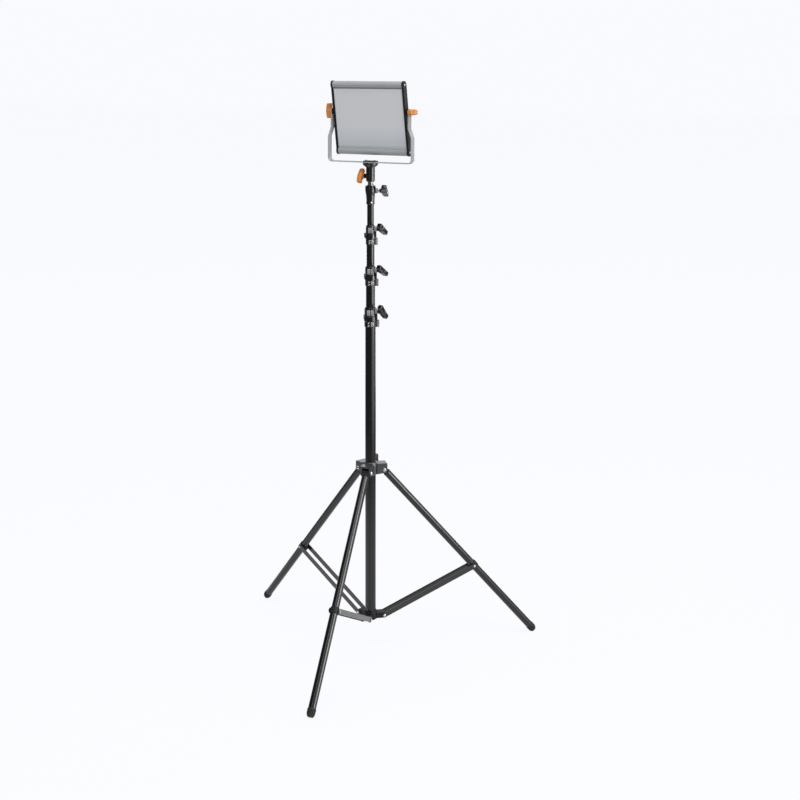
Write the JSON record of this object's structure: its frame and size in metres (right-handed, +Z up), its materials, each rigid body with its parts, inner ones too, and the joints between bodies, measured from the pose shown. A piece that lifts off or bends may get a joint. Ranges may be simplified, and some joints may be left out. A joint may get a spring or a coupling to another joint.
{
  "type": "led panel light",
  "caption": "Square LED video panel in a tilting U-bracket, locked by wing knobs on a telescopic light stand with a folding braced tripod.",
  "frame": {"origin": "on the floor, on the axis of the stand's column", "axes": "+Z up the column; the light faces -Y; its tilt axis is along X"},
  "size_m": [0.8673, 0.8287, 1.6569],
  "materials": {
    "black_tube": "satin black anodised tube",
    "black_gloss": "glossy black moulding",
    "black_plastic": "matt black moulding",
    "orange_plastic": "satin orange moulding",
    "bracket_paint": "satin grey powder coat",
    "housing_metal": "satin grey extrusion",
    "bright_steel": "polished",
    "zinc_steel": "zinc plated",
    "black_rubber": "matt rubber",
    "nylon": "natural nylon",
    "opal": "satin opal diffuser",
    "led_board": "white solder mask",
    "led_phosphor": "LED phosphor",
    "circuit_board": "green solder mask",
    "display_glass": "smoked window"
  },
  "bodies": {
    "column": {"column_tube": "black_tube", "column_end_cap": "black_plastic", "lower_spider": "black_plastic", "section_collar_1": "black_gloss"},
    "leg_collar": {"leg_collar": "black_plastic", "leg_pins": "bright_steel"},
    "leg_1": {"leg_1_tube": "black_tube", "leg_1_fittings": "black_plastic", "foot_1": "black_rubber"},
    "brace_1": {"brace_1": "black_tube"},
    "leg_2": {"leg_2_tube": "black_tube", "leg_2_fittings": "black_plastic", "foot_2": "black_rubber"},
    "brace_2": {"brace_2": "black_tube"},
    "leg_3": {"leg_3_tube": "black_tube", "leg_3_fittings": "black_plastic", "foot_3": "black_rubber"},
    "brace_3": {"brace_3": "black_tube"},
    "riser_1": {"riser_1_tube": "black_tube", "riser_1_bushing": "nylon", "section_collar_2": "black_gloss"},
    "riser_2": {"riser_2_tube": "black_tube", "riser_2_bushing": "nylon", "section_collar_3": "black_gloss"},
    "riser_3": {"riser_3_tube": "black_tube", "riser_3_bushing": "nylon", "stand_head": "black_gloss", "spigot": "bright_steel"},
    "section_knob_1": {"section_knob_1": "black_gloss"},
    "section_knob_2": {"section_knob_2": "black_gloss"},
    "section_knob_3": {"section_knob_3": "black_gloss"},
    "head_knob": {"head_knob": "black_gloss"},
    "leg_collar_knob": {"leg_collar_knob": "black_gloss"},
    "yoke": {"mount_socket": "black_gloss", "u_bracket": "bracket_paint", "bracket_plate": "zinc_steel", "bracket_bolts": "bright_steel"},
    "mount_knob": {"mount_knob": "orange_plastic"},
    "panel": {"panel_housing": "housing_metal", "end_cap_left": "black_plastic", "end_cap_right": "black_plastic", "panel_screws": "zinc_steel", "friction_washers": "black_rubber", "diffuser": "opal", "led_board": "led_board", "led_strips": "led_phosphor", "rear_cover": "black_plastic", "battery_plates": "black_plastic", "dc_jack": "black_plastic", "display_window": "display_glass", "control_board": "circuit_board"},
    "tilt_knob_left": {"tilt_knob_left": "orange_plastic"},
    "tilt_knob_right": {"tilt_knob_right": "orange_plastic"},
    "release_button_left": {"release_button_left": "black_gloss"},
    "release_button_right": {"release_button_right": "black_gloss"},
    "brightness_dial": {"brightness_dial": "black_plastic"},
    "colour_dial": {"colour_dial": "black_plastic"},
    "power_switch": {"power_switch": "black_gloss"}
  },
  "joints": [
    {"name": "leg_collar_slide", "type": "slide", "parent": "column", "child": "leg_collar", "axis": [0, 0, 1], "range_m": [0, 0.28171]},
    {"name": "leg_1_fold", "type": "hinge", "parent": "leg_collar", "child": "leg_1", "pos_m": [0.02988, 0.02507, 0.515], "axis": [-0.6428, 0.766, 0], "range_deg": [-0.1, 42.24]},
    {"name": "brace_1_fold", "type": "hinge", "parent": "column", "child": "brace_1", "pos_m": [0.02988, 0.02507, 0.0889], "axis": [-0.6428, 0.766, 0], "range_deg": [-65.73, 0.1]},
    {"name": "leg_2_fold", "type": "hinge", "parent": "leg_collar", "child": "leg_2", "pos_m": [-0.03665, 0.01334, 0.515], "axis": [-0.342, -0.9397, 0], "range_deg": [-0.1, 42.24]},
    {"name": "brace_2_fold", "type": "hinge", "parent": "column", "child": "brace_2", "pos_m": [-0.03665, 0.01334, 0.0889], "axis": [-0.342, -0.9397, 0], "range_deg": [-65.73, 0.1]},
    {"name": "leg_3_fold", "type": "hinge", "parent": "leg_collar", "child": "leg_3", "pos_m": [0.00677, -0.03841, 0.515], "axis": [0.9848, 0.1736, 0], "range_deg": [-0.1, 42.24]},
    {"name": "brace_3_fold", "type": "hinge", "parent": "column", "child": "brace_3", "pos_m": [0.00677, -0.03841, 0.0889], "axis": [0.9848, 0.1736, 0], "range_deg": [-65.73, 0.1]},
    {"name": "riser_1_slide", "type": "slide", "parent": "column", "child": "riser_1", "axis": [0, 0, 1], "range_m": [-0.06, 0.65]},
    {"name": "riser_2_slide", "type": "slide", "parent": "riser_1", "child": "riser_2", "axis": [0, 0, 1], "range_m": [-0.06, 0.65]},
    {"name": "riser_3_slide", "type": "slide", "parent": "riser_2", "child": "riser_3", "axis": [0, 0, 1], "range_m": [-0.06, 0.65]},
    {"name": "section_knob_1_turn", "type": "hinge", "parent": "column", "child": "section_knob_1", "pos_m": [0.02989, -0.00261, 0.9815], "axis": [0.9962, -0.0872, 0], "range_deg": [-15, 345]},
    {"name": "section_knob_2_turn", "type": "hinge", "parent": "riser_1", "child": "section_knob_2", "pos_m": [0.02989, -0.00261, 1.102], "axis": [0.9962, -0.0872, 0], "range_deg": [-15, 345]},
    {"name": "section_knob_3_turn", "type": "hinge", "parent": "riser_2", "child": "section_knob_3", "pos_m": [0.03, 0, 1.2226], "axis": [1, 0, 0], "range_deg": [-15, 345]},
    {"name": "head_knob_turn", "type": "hinge", "parent": "riser_3", "child": "head_knob", "pos_m": [0.02869, 0.00877, 1.334], "axis": [0.9563, 0.2924, 0], "range_deg": [-15, 345]},
    {"name": "leg_collar_knob_turn", "type": "hinge", "parent": "leg_collar", "child": "leg_collar_knob", "pos_m": [-0.00625, 0.03545, 0.523], "axis": [-0.1736, 0.9848, 0], "range_deg": [-15, 345]},
    {"name": "pan", "type": "hinge", "parent": "riser_3", "child": "yoke", "pos_m": [0, 0, 1.38], "axis": [0, 0, 1], "continuous": true},
    {"name": "mount_knob_turn", "type": "hinge", "parent": "yoke", "child": "mount_knob", "pos_m": [-0.028, 0, 1.376], "axis": [-1, 0, 0], "range_deg": [-15, 345]},
    {"name": "tilt", "type": "hinge", "parent": "yoke", "child": "panel", "pos_m": [0, 0, 1.5665], "axis": [1, 0, 0], "continuous": true},
    {"name": "tilt_knob_left_turn", "type": "hinge", "parent": "panel", "child": "tilt_knob_left", "pos_m": [-0.138, 0, 1.5665], "axis": [-1, 0, 0], "range_deg": [-15, 345]},
    {"name": "tilt_knob_right_turn", "type": "hinge", "parent": "panel", "child": "tilt_knob_right", "pos_m": [0.138, 0, 1.5665], "axis": [1, 0, 0], "range_deg": [-15, 345]},
    {"name": "brightness_dial_turn", "type": "hinge", "parent": "panel", "child": "brightness_dial", "pos_m": [0, 0.03247, 1.55801], "axis": [0, 0.9848, 0.1736], "range_deg": [-140, 140]},
    {"name": "colour_dial_turn", "type": "hinge", "parent": "panel", "child": "colour_dial", "pos_m": [0, 0.03698, 1.5324], "axis": [0, 0.9848, 0.1736], "range_deg": [-140, 140]},
    {"name": "power_switch_rock", "type": "hinge", "parent": "panel", "child": "power_switch", "pos_m": [0, 0.03347, 1.50741], "axis": [1, 0, 0], "range_deg": [-14, 0]},
    {"name": "release_button_left_press", "type": "slide", "parent": "panel", "child": "release_button_left", "axis": [0, -0.9848, -0.1736], "range_m": [0, 0.0015]},
    {"name": "release_button_right_press", "type": "slide", "parent": "panel", "child": "release_button_right", "axis": [0, -0.9848, -0.1736], "range_m": [0, 0.0015]}
  ],
  "couplings": [
    {"joint": "leg_1_fold", "follows": "leg_collar_slide", "rad_per_m": 2.6107},
    {"joint": "brace_1_fold", "follows": "leg_collar_slide", "rad_per_m": -4.0663},
    {"joint": "leg_2_fold", "follows": "leg_collar_slide", "rad_per_m": 2.6107},
    {"joint": "brace_2_fold", "follows": "leg_collar_slide", "rad_per_m": -4.0663},
    {"joint": "leg_3_fold", "follows": "leg_collar_slide", "rad_per_m": 2.6107},
    {"joint": "brace_3_fold", "follows": "leg_collar_slide", "rad_per_m": -4.0663}
  ]
}
